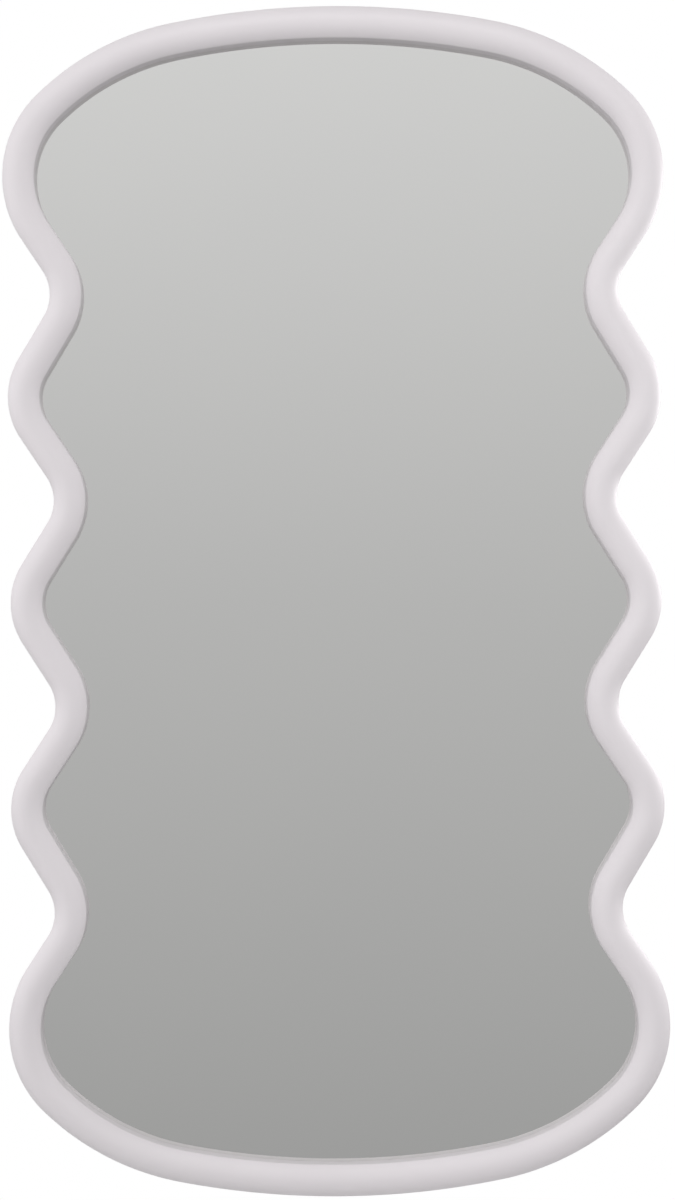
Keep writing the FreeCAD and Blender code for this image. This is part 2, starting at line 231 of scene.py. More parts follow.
def right_bends():
    """The chain down the right side, from the crown's middle to the lower crown's."""
    waves = wave_circles()
    cap = cap_circles(waves[0])
    foot = [(x, -z, reach) for x, z, reach in reversed(cap)]
    circles = cap + waves + foot
    angles = [math.pi / 2]
    angles += [junction_angle(*pair) for pair in zip(circles, circles[1:])]
    angles.append(-math.pi / 2)
    return [circle + ends for circle, ends in zip(circles, zip(angles, angles[1:]))]


def bend_point(bend, angle, inset):
    """Centre plus (reach less inset) times the unit normal at the angle, as (x, z)."""
    x, z, reach, _, _ = bend
    out = reach - inset
    return np.array([x + out * math.cos(angle), z + out * math.sin(angle)])


def outline_loop(bends):
    """Points of the outer edge, outward normals there, and the numbers of the points in
    the middle of the four glued joints, clockwise from the crown's middle. On a bend the
    normal's angle falls evenly; the left side is the right side mirrored."""
    points, normals, joints, count = [], [], [], 0
    for i, (x, z, reach, start, end) in enumerate(bends):
        steps = max(least_steps, math.ceil(abs(reach * (start - end)) / outline_step))
        angles = np.linspace(start, end, steps + 1)
        unit = np.stack([np.cos(angles), np.sin(angles)], 1)
        edge = np.array([x, z]) + reach * unit
        if points and np.linalg.norm(edge[0] - points[-1][-1]) < same_place:
            edge, unit = edge[1:], unit[1:]
        if i in (cap_count, len(bends) - cap_count):
            middle = (edge[0] + points[-1][-1]) / 2
            edge, unit = np.vstack([middle, edge]), np.vstack([unit[0], unit])
            joints.append(count)
        points.append(edge)
        normals.append(unit)
        count += len(edge)
    points, normals = np.vstack(points), np.vstack(normals)
    flip = np.array([-1.0, 1.0])
    points = np.vstack([points, (points * flip)[-2:0:-1]])
    normals = np.vstack([normals, (normals * flip)[-2:0:-1]])
    total = len(points)
    joints += [total - j for j in reversed(joints)]
    return points, normals, joints


# Shapes and meshes

def eased(corners, radius, steps):
    """An open run of corners with each inner corner turned into an arc: its ends lie the
    radius over the tangent of half the corner's angle from the corner, and its points
    turn evenly about a centre on the bisector. A holding point follows at each end."""
    corners = np.asarray(corners, float)
    out = [corners[:1]]
    for before, here, after in zip(corners, corners[1:], corners[2:]):
        u = (before - here) / np.linalg.norm(before - here)
        v = (after - here) / np.linalg.norm(after - here)
        half = math.acos(np.clip(u @ v, -1, 1)) / 2
        cut = radius / math.tan(half)
        centre = here + (u + v) / np.linalg.norm(u + v) * radius / math.sin(half)
        a, b = here + u * cut - centre, here + v * cut - centre
        turn = math.pi - 2 * half
        t = np.linspace(0, 1, steps + 1)[:, None]
        arc = centre + (np.sin((1 - t) * turn) * a + np.sin(t * turn) * b) / math.sin(turn)
        out += [(here + u * (cut + hold))[None], arc, (here + v * (cut + hold))[None]]
    out.append(corners[-1:])
    return np.vstack(out)


def grid_faces(rows, columns, wrap_rows=False):
    """Quads between neighbours of a grid numbered row by row, whose columns are a ring."""
    r = np.arange(rows if wrap_rows else rows - 1)[:, None]
    c = np.arange(columns)[None, :]
    r1, c1 = (r + 1) % rows, (c + 1) % columns
    corners = (r * columns + c, r * columns + c1, r1 * columns + c1, r1 * columns + c)
    return np.stack(np.broadcast_arrays(*corners), -1).reshape(-1, len(corners)).tolist()


def capped(rings):
    """Points and faces of a tube through these rings, closed at both ends by a fan to the
    end ring's mean point."""
    rows, columns = rings.shape[:2]
    faces = grid_faces(rows, columns)
    points = np.vstack([rings.reshape(-1, 3), rings[0].mean(0), rings[-1].mean(0)])
    ring = np.arange(columns)
    following = (ring + 1) % columns
    last = (rows - 1) * columns
    low, high = rows * columns, rows * columns + 1
    faces += np.stack([following, ring, np.full(columns, low)], 1).tolist()
    faces += np.stack([last + ring, last + following, np.full(columns, high)], 1).tolist()
    return points, faces


def several(pieces):
    """Joins the points and faces of separate solids into one mesh's."""
    points, faces, start = [], [], 0
    for p, f in pieces:
        points.append(p)
        faces += [[i + start for i in face] for face in f]
        start += len(p)
    return np.vstack(points), faces


def placed(name, mesh, body):
    """Puts a finished mesh in the place of the solid of this name, on its body."""
    piece = bpy.data.objects.new(name + "_finished", mesh)
    bpy.context.scene.collection.objects.link(piece)
    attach(piece, body)
    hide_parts(name)
    return piece


def add_piece(name, shape, materials, body=BODY, kinds=None):
    """Makes a mesh of the shape's points and faces and turns it outward if the volume that
    it encloses, a sixth of the sum of its triangles' triple products, is negative. The
    kinds are the faces' numbers in the materials."""
    points, faces = shape
    mesh = bpy.data.meshes.new(name + "_finished")
    mesh.from_pydata(np.asarray(points).reshape(-1, 3).tolist(), [], faces)
    mesh.calc_loop_triangles()
    places = np.empty(len(mesh.vertices) * 3, np.float32)
    mesh.vertices.foreach_get("co", places)
    corners = np.empty(len(mesh.loop_triangles) * 3, np.int32)
    mesh.loop_triangles.foreach_get("vertices", corners)
    a, b, c = places.reshape(-1, 3)[corners].reshape(-1, 3, 3).astype(float).transpose(1, 0, 2)
    if np.einsum("ij,ij", a, np.cross(b, c)) < 0:
        mesh.flip_normals()
    for material in materials:
        mesh.materials.append(material)
    if kinds is not None:
        mesh.polygons.foreach_set("material_index", kinds)
    mesh.polygons.foreach_set("use_smooth", np.ones(len(mesh.polygons), bool))
    mesh.set_sharp_from_angle(angle=crease_angle)
    placed(name, mesh, body)


# Colours and nodes

# The sRGB standard's curve: a straight line near black, then a power
srgb_full = 255
srgb_knee = 0.04045
srgb_slope = 12.92
srgb_offset = 0.055
srgb_power = 2.4

# A Mix node has several sockets of one name, so those for its colours go by number
SHARE, FIRST, SECOND = 0, 6, 7
MIXED = 2


def linear(code):
    """The linear colour of an sRGB hex value: the level over the slope near black, and
    above the knee the power of the level plus the offset over one plus the offset."""
    s = np.array([int(pair, 16) for pair in (code[1:3], code[3:5], code[5:])]) / srgb_full
    curve = ((s + srgb_offset) / (1 + srgb_offset)) ** srgb_power
    return (*np.where(s <= srgb_knee, s / srgb_slope, curve).tolist(), 1.0)


def add(tree, kind, sockets=None, stops=None, **settings):
    """Adds a node: sockets holds a value, a hex colour or an output to link for each input,
    stops the positions of a ramp with a hex colour or a plain level at each, and settings
    the node's own choices."""
    made = tree.nodes.new(kind)
    for key, value in settings.items():
        setattr(made, key, value)
    for key, value in (sockets or {}).items():
        if isinstance(value, bpy.types.NodeSocket):
            tree.links.new(value, made.inputs[key])
        else:
            made.inputs[key].default_value = linear(value) if isinstance(value, str) else value
    if stops:
        ramp = made.color_ramp.elements
        for i, (position, code) in enumerate(stops):
            element = ramp[i] if i < 2 else ramp.new(position)
            element.position = position
            element.color = linear(code) if isinstance(code, str) else (code, code, code, 1.0)
    return made


def new_material(name):
    """An empty material, its tree and the Object coordinates."""
    material = bpy.data.materials.new(name)
    material.use_nodes = True
    tree = material.node_tree
    tree.nodes.clear()
    return material, tree, add(tree, "ShaderNodeTexCoord").outputs["Object"]


# Materials

def satin_lacquer():
    """Sprayed polyurethane lacquer, satin, on sanded fibreboard: an even pale lilac-white
    with a soft sheen. The spray leaves a faint orange peel, here 2.4 mm lumps because the
    real 1 mm ones would not show, and the coat varies a little in tone and gloss."""
    cloud_size = 70 * MM
    peel_size = 2.4 * MM
    peel_height = 0.02 * MM
    material, tree, place = new_material("satin_lacquer")
    cloud = add(tree, "ShaderNodeTexNoise", {"Vector": place, "Scale": 1 / cloud_size, "Detail": 3.0})
    tone = add(tree, "ShaderNodeMix", {SHARE: cloud.outputs[0], FIRST: "#DCD7DA", SECOND: "#E2DDE0"},
               data_type="RGBA")
    peel = add(tree, "ShaderNodeTexNoise", {"Vector": place, "Scale": 1 / peel_size, "Detail": 2.0})
    gloss = add(tree, "ShaderNodeMapRange", {"Value": cloud.outputs[0], "To Min": 0.34, "To Max": 0.42})
    bump = add(tree, "ShaderNodeBump", {"Height": peel.outputs[0], "Strength": 0.5,
                                        "Distance": peel_height})
    shader = add(tree, "ShaderNodeBsdfPrincipled", {"Base Color": tone.outputs[MIXED], "IOR": 1.5,
                                                    "Roughness": gloss.outputs[0],
                                                    "Normal": bump.outputs[0]})
    add(tree, "ShaderNodeOutputMaterial", {"Surface": shader.outputs[0]})
    return material


def silvered_glass():
    """Float glass silvered on its back: a clean, neutral mirror. Its reflection is set at
    the glass's front, with clouds too faint to notice where the silver is thinner."""
    cloud_size = 220 * MM
    material, tree, place = new_material("silvered_glass")
    cloud = add(tree, "ShaderNodeTexNoise", {"Vector": place, "Scale": 1 / cloud_size, "Detail": 2.0})
    tint = add(tree, "ShaderNodeMix", {SHARE: cloud.outputs[0], FIRST: "#F2F2F1", SECOND: "#F5F5F3"},
               data_type="RGBA")
    shader = add(tree, "ShaderNodeBsdfPrincipled", {"Base Color": tint.outputs[MIXED],
                                                    "Metallic": 1.0, "Roughness": 0.01})
    add(tree, "ShaderNodeOutputMaterial", {"Surface": shader.outputs[0]})
    return material


def ground_glass_edge():
    """The ground edge of float glass: pale sea green and frosted by the grinding wheel,
    whose strokes lie about 0.5 mm apart."""
    stroke_size = 0.5 * MM
    material, tree, place = new_material("ground_glass_edge")
    grind = add(tree, "ShaderNodeTexNoise", {"Vector": place, "Scale": 1 / stroke_size, "Detail": 2.0})
    tint = add(tree, "ShaderNodeMix", {SHARE: grind.outputs[0], FIRST: "#7FA294", SECOND: "#A9C4B8"},
               data_type="RGBA")
    shader = add(tree, "ShaderNodeBsdfPrincipled", {"Base Color": tint.outputs[MIXED],
                                                    "Roughness": 0.45})
    add(tree, "ShaderNodeOutputMaterial", {"Surface": shader.outputs[0]})
    return material


def backing_paint():
    """The grey paint rolled over the silvering, matt, with faint roller marks 6 mm apart."""
    mark_size = 6 * MM
    material, tree, place = new_material("mirror_backing_paint")
    roll = add(tree, "ShaderNodeTexNoise", {"Vector": place, "Scale": 1 / mark_size, "Detail": 3.0})
    tint = add(tree, "ShaderNodeMix", {SHARE: roll.outputs[0], FIRST: "#6E7674", SECOND: "#7C8482"},
               data_type="RGBA")
    shader = add(tree, "ShaderNodeBsdfPrincipled", {"Base Color": tint.outputs[MIXED],
                                                    "Roughness": 0.6})
    add(tree, "ShaderNodeOutputMaterial", {"Surface": shader.outputs[0]})
    return material


def hardboard():
    """Bare hardboard, smooth side out: brown pressed fibres 1 to 4 mm long in random
    directions, darker flecks of bark and a dull, slightly waxy face."""
    fibre_size = 2.6 * MM
    fibre_height = 0.12 * MM
    cloud_size = 60 * MM
    fleck_spacing = 5 * MM
    material, tree, place = new_material("hardboard")
    fibre = add(tree, "ShaderNodeTexNoise", {"Vector": place, "Scale": 1 / fibre_size, "Detail": 6.0,
                                             "Roughness": 0.68, "Distortion": 1.4})
    cloud = add(tree, "ShaderNodeTexNoise", {"Vector": place, "Scale": 1 / cloud_size, "Detail": 3.0})
    ground = add(tree, "ShaderNodeMix", {SHARE: cloud.outputs[0], FIRST: "#7A5A3E", SECOND: "#8E6C4C"},
                 data_type="RGBA")
    strands = add(tree, "ShaderNodeMapRange", {"Value": fibre.outputs[0], "From Min": 0.35,
                                               "From Max": 0.68})
    mixed = add(tree, "ShaderNodeMix", {SHARE: strands.outputs[0], FIRST: ground.outputs[MIXED],
                                        SECOND: "#A98762"}, data_type="RGBA")
    flecks = add(tree, "ShaderNodeTexVoronoi", {"Vector": place, "Scale": 1 / fleck_spacing})
    dark = add(tree, "ShaderNodeMapRange", {"Value": flecks.outputs["Distance"], "From Min": 0.05,
                                            "From Max": 0.16, "To Min": 0.55, "To Max": 0.0})
    colour = add(tree, "ShaderNodeMix", {SHARE: dark.outputs[0], FIRST: mixed.outputs[MIXED],
                                         SECOND: "#4A3322"}, data_type="RGBA")
    bump = add(tree, "ShaderNodeBump", {"Height": fibre.outputs[0], "Strength": 0.5,
                                        "Distance": fibre_height})
    shader = add(tree, "ShaderNodeBsdfPrincipled", {"Base Color": colour.outputs[MIXED],
                                                    "Roughness": 0.62, "Normal": bump.outputs[0]})
    add(tree, "ShaderNodeOutputMaterial", {"Surface": shader.outputs[0]})
    return material


def plated_steel(name, dark, light, smoothest, roughest, mark_size):
    """Electroplated steel: a bright metal whose coat clouds a little, with fine tumbling
    marks that break its reflections."""
    cloud_size = 3 * MM
    mark_depth = 0.03 * MM
    material, tree, place = new_material(name)
    cloud = add(tree, "ShaderNodeTexNoise", {"Vector": place, "Scale": 1 / cloud_size, "Detail": 4.0})
    marks = add(tree, "ShaderNodeTexNoise", {"Vector": place, "Scale": 1 / mark_size, "Detail": 3.0})
    tint = add(tree, "ShaderNodeMix", {SHARE: cloud.outputs[0], FIRST: dark, SECOND: light},
               data_type="RGBA")
    gloss = add(tree, "ShaderNodeMapRange", {"Value": marks.outputs[0], "To Min": smoothest,
                                             "To Max": roughest})
    bump = add(tree, "ShaderNodeBump", {"Height": marks.outputs[0], "Strength": 0.35,
                                        "Distance": mark_depth})
    shader = add(tree, "ShaderNodeBsdfPrincipled", {"Base Color": tint.outputs[MIXED],
                                                    "Metallic": 1.0, "Roughness": gloss.outputs[0],
                                                    "Normal": bump.outputs[0]})
    add(tree, "ShaderNodeOutputMaterial", {"Surface": shader.outputs[0]})
    return material


def moulded_rubber():
    """Moulded rubber, matt black with a bloom: a fine spark-eroded grain, here 0.8 mm so
    that it shows."""
    grain_size = 0.8 * MM
    grain_height = 0.05 * MM
    material, tree, place = new_material("moulded_rubber")
    grain = add(tree, "ShaderNodeTexNoise", {"Vector": place, "Scale": 1 / grain_size, "Detail": 3.0})
    tint = add(tree, "ShaderNodeMix", {SHARE: grain.outputs[0], FIRST: "#26262A", SECOND: "#38383C"},
               data_type="RGBA")
    bump = add(tree, "ShaderNodeBump", {"Height": grain.outputs[0], "Strength": 0.5,
                                        "Distance": grain_height})
    shader = add(tree, "ShaderNodeBsdfPrincipled", {"Base Color": tint.outputs[MIXED],
                                                    "Roughness": 0.66, "Normal": bump.outputs[0]})
    add(tree, "ShaderNodeOutputMaterial", {"Surface": shader.outputs[0]})
    return material


def beech():
    """Bare turned beech: pale pink-brown, with short dark flecks about 0.7 mm wide and
    eight times as tall."""
    fleck_width = 0.7 * MM
    grain_squeeze = 0.12
    material, tree, place = new_material("bare_beech")
    along = add(tree, "ShaderNodeMapping", {"Vector": place, "Scale": (1.0, 1.0, grain_squeeze)})
    grain = add(tree, "ShaderNodeTexNoise", {"Vector": along.outputs[0], "Scale": 1 / fleck_width,
                                             "Detail": 4.0})
    tint = add(tree, "ShaderNodeMix", {SHARE: grain.outputs[0], FIRST: "#B98F66", SECOND: "#DDBB92"},
               data_type="RGBA")
    shader = add(tree, "ShaderNodeBsdfPrincipled", {"Base Color": tint.outputs[MIXED],
                                                    "Roughness": 0.6})
    add(tree, "ShaderNodeOutputMaterial", {"Surface": shader.outputs[0]})
    return material


def foam():
    """White polyethylene foam tape, closed cells about 0.6 mm across."""
    cell_size = 0.6 * MM
    cell_depth = 0.1 * MM
    material, tree, place = new_material("foam_tape")
    cells = add(tree, "ShaderNodeTexVoronoi", {"Vector": place, "Scale": 1 / cell_size})
    tint = add(tree, "ShaderNodeMix", {SHARE: cells.outputs["Distance"], FIRST: "#F1F0EC",
                                       SECOND: "#D8D6D0"}, data_type="RGBA")
    bump = add(tree, "ShaderNodeBump", {"Height": cells.outputs["Distance"], "Strength": 0.6,
                                        "Distance": cell_depth})
    shader = add(tree, "ShaderNodeBsdfPrincipled", {"Base Color": tint.outputs[MIXED],
                                                    "Roughness": 0.8, "Normal": bump.outputs[0]})
    add(tree, "ShaderNodeOutputMaterial", {"Surface": shader.outputs[0]})
    return material


# The four lengths of the frame

def moulding_section():
    """The moulding's closed section as (inset, depth). Its front is a circular segment
    that rises by crown_rise over the rail's width, blended into both walls by a circle of
    edge_round that touches the wall and the front. The rest has eased corners."""
    half = rail_width / 2
    radius = (crown_rise ** 2 + half ** 2) / (2 * crown_rise)
    base = frame_depth - radius
    wall_top = base + math.sqrt((radius - edge_round) ** 2 - (half - edge_round) ** 2)
    touch = math.atan2(wall_top - base, half - edge_round)
    knee = np.linspace(math.pi, math.pi - touch, knee_points)
    outer = np.stack([edge_round * (1 + np.cos(knee)), wall_top + edge_round * np.sin(knee)], 1)
    sweep = np.linspace(math.pi - touch, touch, front_points)[1:-1]
    front = np.stack([half + radius * np.cos(sweep), base + radius * np.sin(sweep)], 1)
    inner = (outer * [-1, 1] + [rail_width, 0])[::-1]
    step = rail_width - rebate_width
    rear = eased([(rail_width, wall_top - hold), (rail_width, rebate_depth), (step, rebate_depth),
                  (step, 0), (rear_ease, 0), (0, rear_ease), (0, wall_top - hold)],
                 paint_round, corner_steps)
    return np.vstack([outer, front, inner, rear])


def moulding_piece(edge, normal):
    """Carries the section along the edge: each section point lies its inset inward along
    the normal and its depth in front of the frame's rear. Both cut ends are closed."""
    section = moulding_section()
    inset, depth = section[:, 0], section[:, 1]
    points = np.empty((len(edge), len(section), 3))
    points[..., 0] = edge[:, 0, None] - inset * normal[:, 0, None]
    points[..., 1] = frame_rear - depth
    points[..., 2] = edge[:, 1, None] - inset * normal[:, 1, None]
    rows, columns = points.shape[:2]
    faces = grid_faces(rows, columns)
    faces.append(list(range(columns))[::-1])
    faces.append(list(range((rows - 1) * columns, rows * columns)))
    return points, faces


def make_frame(loop, lacquer):
    """The four lengths, each from one glued joint to the next, clockwise."""
    edge, normal, joints = loop
    ends = joints + [len(edge) + joints[0]]
    for name, first, last in zip(("frame_right", "frame_bottom", "frame_left", "frame_top"),
                                 ends, ends[1:]):
        stretch = np.arange(first, last + 1) % len(edge)
        add_piece(name, moulding_piece(edge[stretch], normal[stretch]), [lacquer])


# Glass and back board

def plate_rim(inset, ease, rear, front):
    """From the rear face round the eased edge to the front face, as (inset, y)."""
    lead = inset + face_lead * ease
    return eased([(lead, rear), (inset, rear), (inset, front), (lead, front)], ease, arris_steps)


def make_plate(loop, rim, name, materials, kinds):
    """A flat plate: each point of the rim lies its inset inward along the normal, at its y.
    The faces are rows that join a point on the right to its mirror image on the left. The
    kinds are the numbers of the rear's, the rim's and the front's material."""
    edge, normal, _ = loop
    count, columns = len(edge), len(rim)
    points = np.empty((columns, count, 3))
    points[..., 0] = edge[:, 0] - rim[:, 0, None] * normal[:, 0]
    points[..., 1] = rim[:, 1, None]
    points[..., 2] = edge[:, 1] - rim[:, 0, None] * normal[:, 1]
    rear_kind, rim_kind, front_kind = kinds
    faces = grid_faces(columns, count)
    marks = [rim_kind] * len(faces)
    right = np.arange(1, count // 2 - 1)
    rows = np.stack([right, right + 1, count - right - 1, count - right], 1)
    last = count // 2
    tips = [[0, 1, count - 1], [last - 1, last, last + 1]]
    lift = (columns - 1) * count
    for start, kind, way in ((0, rear_kind, -1), (lift, front_kind, 1)):
        made = [[i + start for i in face][::way] for face in rows.tolist() + tips]
        faces += made
        marks += [kind] * len(made)
    add_piece(name, (points, faces), materials, kinds=marks)


def make_glass(loop, silver, edge, paint):
    """The glass: paint on its rear, a ground edge and the mirror on its front."""
    inset = rail_width - rebate_width + glass_gap
    rim = plate_rim(inset, glass_arris, glass_rear, glass_front)
    make_plate(loop, rim, "mirror_glass", [silver, edge, paint], (2, 1, 0))


def make_board(loop, material):
    """The back board, from its outer face down to the frame's rear."""
    rim = plate_rim(board_inset, board_ease, board_rear, frame_rear)
    make_plate(loop, rim, "back_board", [material], (0, 0, 0))


# Screws

def screw(size, seat):
    """A pan-head screw on its seat, driven along -Y. Turned about the axis: the dome is a
    quarter ellipse over an upright side, less the cross recess, whose arms deepen from
    their ends to the middle; the shank's radius is its core plus a thread that winds once
    per pitch, and both shrink to the point."""
    turn = np.linspace(0, 2 * math.pi, screw_sides, endpoint=False)
    head, height = size["head"], size["height"]
    r = head * np.concatenate([np.linspace(*dome_shares, dome_rows), rim_shares])[:, None]
    side = head_side_share * height
    x, z = r * np.cos(turn), r * np.sin(turn)
    dome = side + (height - side) * np.sqrt(np.clip(1 - (r / head) ** 2, 0, 1))
    reach, half = recess_length_share * head / 2, recess_width / 2

    def arm(u, v):
        """One bar of the cross: 1 inside it, falling to 0 over its leaning walls."""
        across = np.clip((half - np.abs(v)) / recess_wall, 0, 1)
        return across * np.clip((reach - np.abs(u)) / recess_wall, 0, 1)

    cross = np.maximum(arm(x, z), arm(z, x)) * (1 - recess_rise_share * r / reach)
    top = np.stack([x, dome - recess_depth * cross, z], -1)
    lower = np.array([(head, head_foot_share * side), (head - head_foot_ease, 0.0),
                      (size["shank"], 0.0)])
    levels = np.broadcast_to(lower[:, 1:], (len(lower), screw_sides))
    under = np.stack([lower[:, :1] * np.cos(turn), levels, lower[:, :1] * np.sin(turn)], -1)
    depth = np.arange(plain_shank, size["length"], thread_pitch / thread_steps)[:, None]
    taper = np.clip((size["length"] - depth) / screw_tip, tip_share, 1)
    phase = (depth / thread_pitch + turn / (2 * math.pi)) % 1
    ridge = thread_height * np.clip(1 - np.abs(phase - 1 / 2) / thread_half_share, 0, 1)
    radius = (size["shank"] - thread_height + ridge) * taper
    shank = np.stack([radius * np.cos(turn), np.broadcast_to(-depth, radius.shape),
                      radius * np.sin(turn)], -1)
    points, faces = capped(np.concatenate([top, under, shank]))
    return points + np.asarray(seat), faces


def board_screw_seats(bends):
    """Seats along both crowns and at the outermost point of each shoulder and bulge, which
    are every second bend, in the middle of the strip where the board lies on the frame."""
    inset = (board_inset + rail_width - rebate_width) / 2
    top, foot = bends[0], bends[-1]
    middle = [bend_point(top, math.pi / 2, inset), bend_point(foot, -math.pi / 2, inset)]
    sides = [bend_point(top, math.pi / 2 - crown_screw_angle, inset),
             bend_point(foot, crown_screw_angle - math.pi / 2, inset)]
    sides += [bend_point(b, 0.0, inset) for b in bends[cap_count - 1:1 - cap_count:2]]
    both = middle + sides + [p * [-1, 1] for p in sides]
    return [(x, board_rear, z) for x, z in both]


# Hangers

def wire_ring(axis, lean):
    """A round wire along a closed path of a straight side, two corners, two legs and a
    half-round bow, leant about the straight side. A point of the wire lies its radius from
    the path, along a turned sum of the path's outward normal and the depth."""
    half = ring_inner_width / 2 + ring_wire_radius
    bow = ring_reach - half
    side = half - ring_corner

    def arc(x, z, radius, first, last, count):
        """Points and normals of an arc between two directions, given in quarter turns."""
        angle = np.linspace(first, last, count) * math.pi / 2
        unit = np.stack([np.cos(angle), np.sin(angle)], 1)
        return np.array([x, z]) + radius * unit, unit

    stretches = [arc(side, ring_corner, ring_corner, -1, 0, ring_corner_points),
                 arc(0, bow, half, 0, 2, ring_bow_points),
                 arc(-side, ring_corner, ring_corner, 2, 3, ring_corner_points)]
    path, unit = (np.vstack(parts)[:, None] for parts in zip(*stretches))
    turn = np.linspace(0, 2 * math.pi, wire_sides, endpoint=False)
    out, deep = ring_wire_radius * np.cos(turn), ring_wire_radius * np.sin(turn)
    flat = path + unit * out[:, None]
    x, z = flat[..., 0], flat[..., 1]
    y = deep * math.cos(lean) - z * math.sin(lean)
    z = deep * math.sin(lean) + z * math.cos(lean)
    return np.stack([x, y, z], -1) + np.asarray(axis), grid_faces(*flat.shape[:2], True)


def eased_copy(name, width, material):
    """A copy of a solid's mesh with its doubled points merged and its edges eased."""
    mesh = frame["nodes"][name].data.copy()
    mesh.name = name + "_finished"
    mesh.materials.clear()
    mesh.materials.append(material)
    piece = placed(name, mesh, BODY)
    weld = piece.modifiers.new("weld", "WELD")
    weld.merge_threshold = weld_distance
    flat = piece.modifiers.new("flat", "DECIMATE")
    flat.decimate_type = "DISSOLVE"
    flat.angle_limit = same_face
    ease = piece.modifiers.new("ease", "BEVEL")
    ease.width = width
    ease.segments = strap_ease_steps
    ease.limit_method = "ANGLE"
    ease.angle_limit = strap_crease
    ease.harden_normals = True


def make_hanger(side, axis, zinc, nickel):
    """Strap, its two screws and the ring, which leans on the back board at rest."""
    seats = [(axis[0], board_rear + strap_thickness, axis[2] - drop) for drop in hanger_screw_drops]
    screws = several([screw(hanger_screw, seat) for seat in seats])
    add_piece("hanger_screws_" + side, screws, [zinc])
    ring = "hanger_ring_" + side
    lean = math.asin((axis[1] - ring_wire_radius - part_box(ring)[0].y) / ring_reach)
    add_piece(ring, wire_ring(axis, lean), [nickel], "ring_" + side)
    eased_copy("hanger_strap_" + side, strap_ease, nickel)


# Bumpers and dowels

def turned(profile, place, along, sides, flutes=0, depth=0.0):
    """A profile of (radius, height) turned about a line: the place plus the height along
    the line plus the radius times the cosine and sine of even angles across it. Where there
    are flutes, the radius loses their depth times a power of a cosine."""
    turn = np.linspace(0, 2 * math.pi, sides, endpoint=False)
    along = np.asarray(along, float) / np.linalg.norm(along)
    side = np.cross(along, [0.0, 1.0, 0.0] if abs(along[1]) < steep_share else [1.0, 0.0, 0.0])
    side /= np.linalg.norm(side)
    other = np.cross(along, side)
    cut = depth * np.cos(turn * flutes / 2) ** flute_sharpness
    radius = np.maximum(profile[:, :1] - cut, flute_floor_share * profile[:, :1])
    rings = (np.asarray(place) + profile[:, 1:, None] * along
             + radius[..., None] * (np.cos(turn)[:, None] * side + np.sin(turn)[:, None] * other))
    return capped(rings)


def bumper_profile(height):
    """A tapered side, a rounded rim and a face dished by a shallow parabola."""
    face = bumper_radius - bumper_taper
    base = [(end_ring_share * bumper_radius, 0.0), (bumper_radius - hold, 0.0), (bumper_radius, 0.0)]
    rim = eased([(bumper_radius, 0), (face, height), (0, height)], bumper_taper, bumper_round_steps)
    r = np.linspace(*dish_shares, dish_rows) * face
    dish = height - bumper_dish * np.clip(1 - (r / (dish_reach_share * face)) ** 2, 0, 1)
    return np.vstack([base, rim[1:-1], np.stack([r, dish], 1)])


def make_bumpers(bends, rubber):
    """One in the middle of each haunch, just inside the board's edge."""
    inset = board_inset + bumper_edge_margin + bumper_radius
    for vertical, haunch in (("top", bends[1]), ("bottom", bends[-2])):
        *_, start, end = haunch
        x, z = bend_point(haunch, (start + end) / 2, inset)
        for side, sign in (("left", -1), ("right", 1)):
            pad = turned(bumper_profile(-board_rear), (sign * x, board_rear, z), (0, 1, 0),
                         bumper_sides)
            add_piece("bumper_" + vertical + "_" + side, pad, [rubber])


def dowel_profile():
    """A straight side between two chamfered, flat ends."""
    end = dowel_radius - dowel_chamfer
    lower = np.array([(end_ring_share * end, 0), (end - hold, 0), (end, 0),
                      (dowel_radius, dowel_chamfer), (dowel_radius, dowel_chamfer + hold)])
    upper = lower[::-1] * [1, -1] + [0, dowel_length]
    return np.vstack([lower, upper])


def make_dowels(loop, wood):
    """Two dowels across each glued joint, along the outline and at these shares of the
    rail, in the middle of the frame's depth."""
    edge, normal, joints = loop
    middle_y = frame_rear - frame_depth / 2
    for corner, number in zip(("top_right", "bottom_right", "bottom_left", "top_left"), joints):
        x, z = edge[number]
        out_x, out_z = normal[number]
        back_x, back_z = edge[number - 1]
        along = np.array([x - back_x, 0, z - back_z])
        along /= np.linalg.norm(along)
        pegs = []
        for share in dowel_place_shares:
            inset = share * rail_width
            start = np.array([x - inset * out_x, middle_y, z - inset * out_z])
            start -= along * dowel_length / 2
            pegs.append(turned(dowel_profile(), start, along, dowel_sides, dowel_flutes,
                               flute_depth))
        add_piece("dowels_" + corner, several(pegs), [wood])


# Making the mirror

bends = right_bends()
loop = outline_loop(bends)
zinc = plated_steel("bright_zinc", "#A9AEB6", "#C6CAD0", smoothest=0.22, roughest=0.4,
                    mark_size=0.8 * MM)
nickel = plated_steel("nickel_plate", "#B5B2AB", "#CFCBC2", smoothest=0.16, roughest=0.34,
                      mark_size=1.5 * MM)

make_frame(loop, satin_lacquer())
make_glass(loop, silvered_glass(), ground_glass_edge(), backing_paint())
make_board(loop, hardboard())
screws = several([screw(board_screw, seat) for seat in board_screw_seats(bends)])
add_piece("board_screws", screws, [zinc])
make_dowels(loop, beech())
ring_axes = {joint["child"]: joint["pos_m"] for joint in frame["joints"]}
for side in ("left", "right"):
    make_hanger(side, ring_axes["ring_" + side], zinc, nickel)
make_bumpers(bends, moulded_rubber())

tape = foam()
for place in ("left", "middle", "right"):
    for held in frame["nodes"]["foam_tape_" + place].material_slots:
        held.material = tape


# Studio: a pale floor well below, soft lamps at the left, above and at the right front, a
# weak one beside the right edge, one behind, and a plain room whose grey, darker towards
# the ground, is what the mirror shows

floor_drop = 1.5
floor_radius = 2.0
floor_sides = 96
fade_start = 0.6              # distance from the floor's middle at which it begins to fade
fade_end = 0.95 * floor_radius

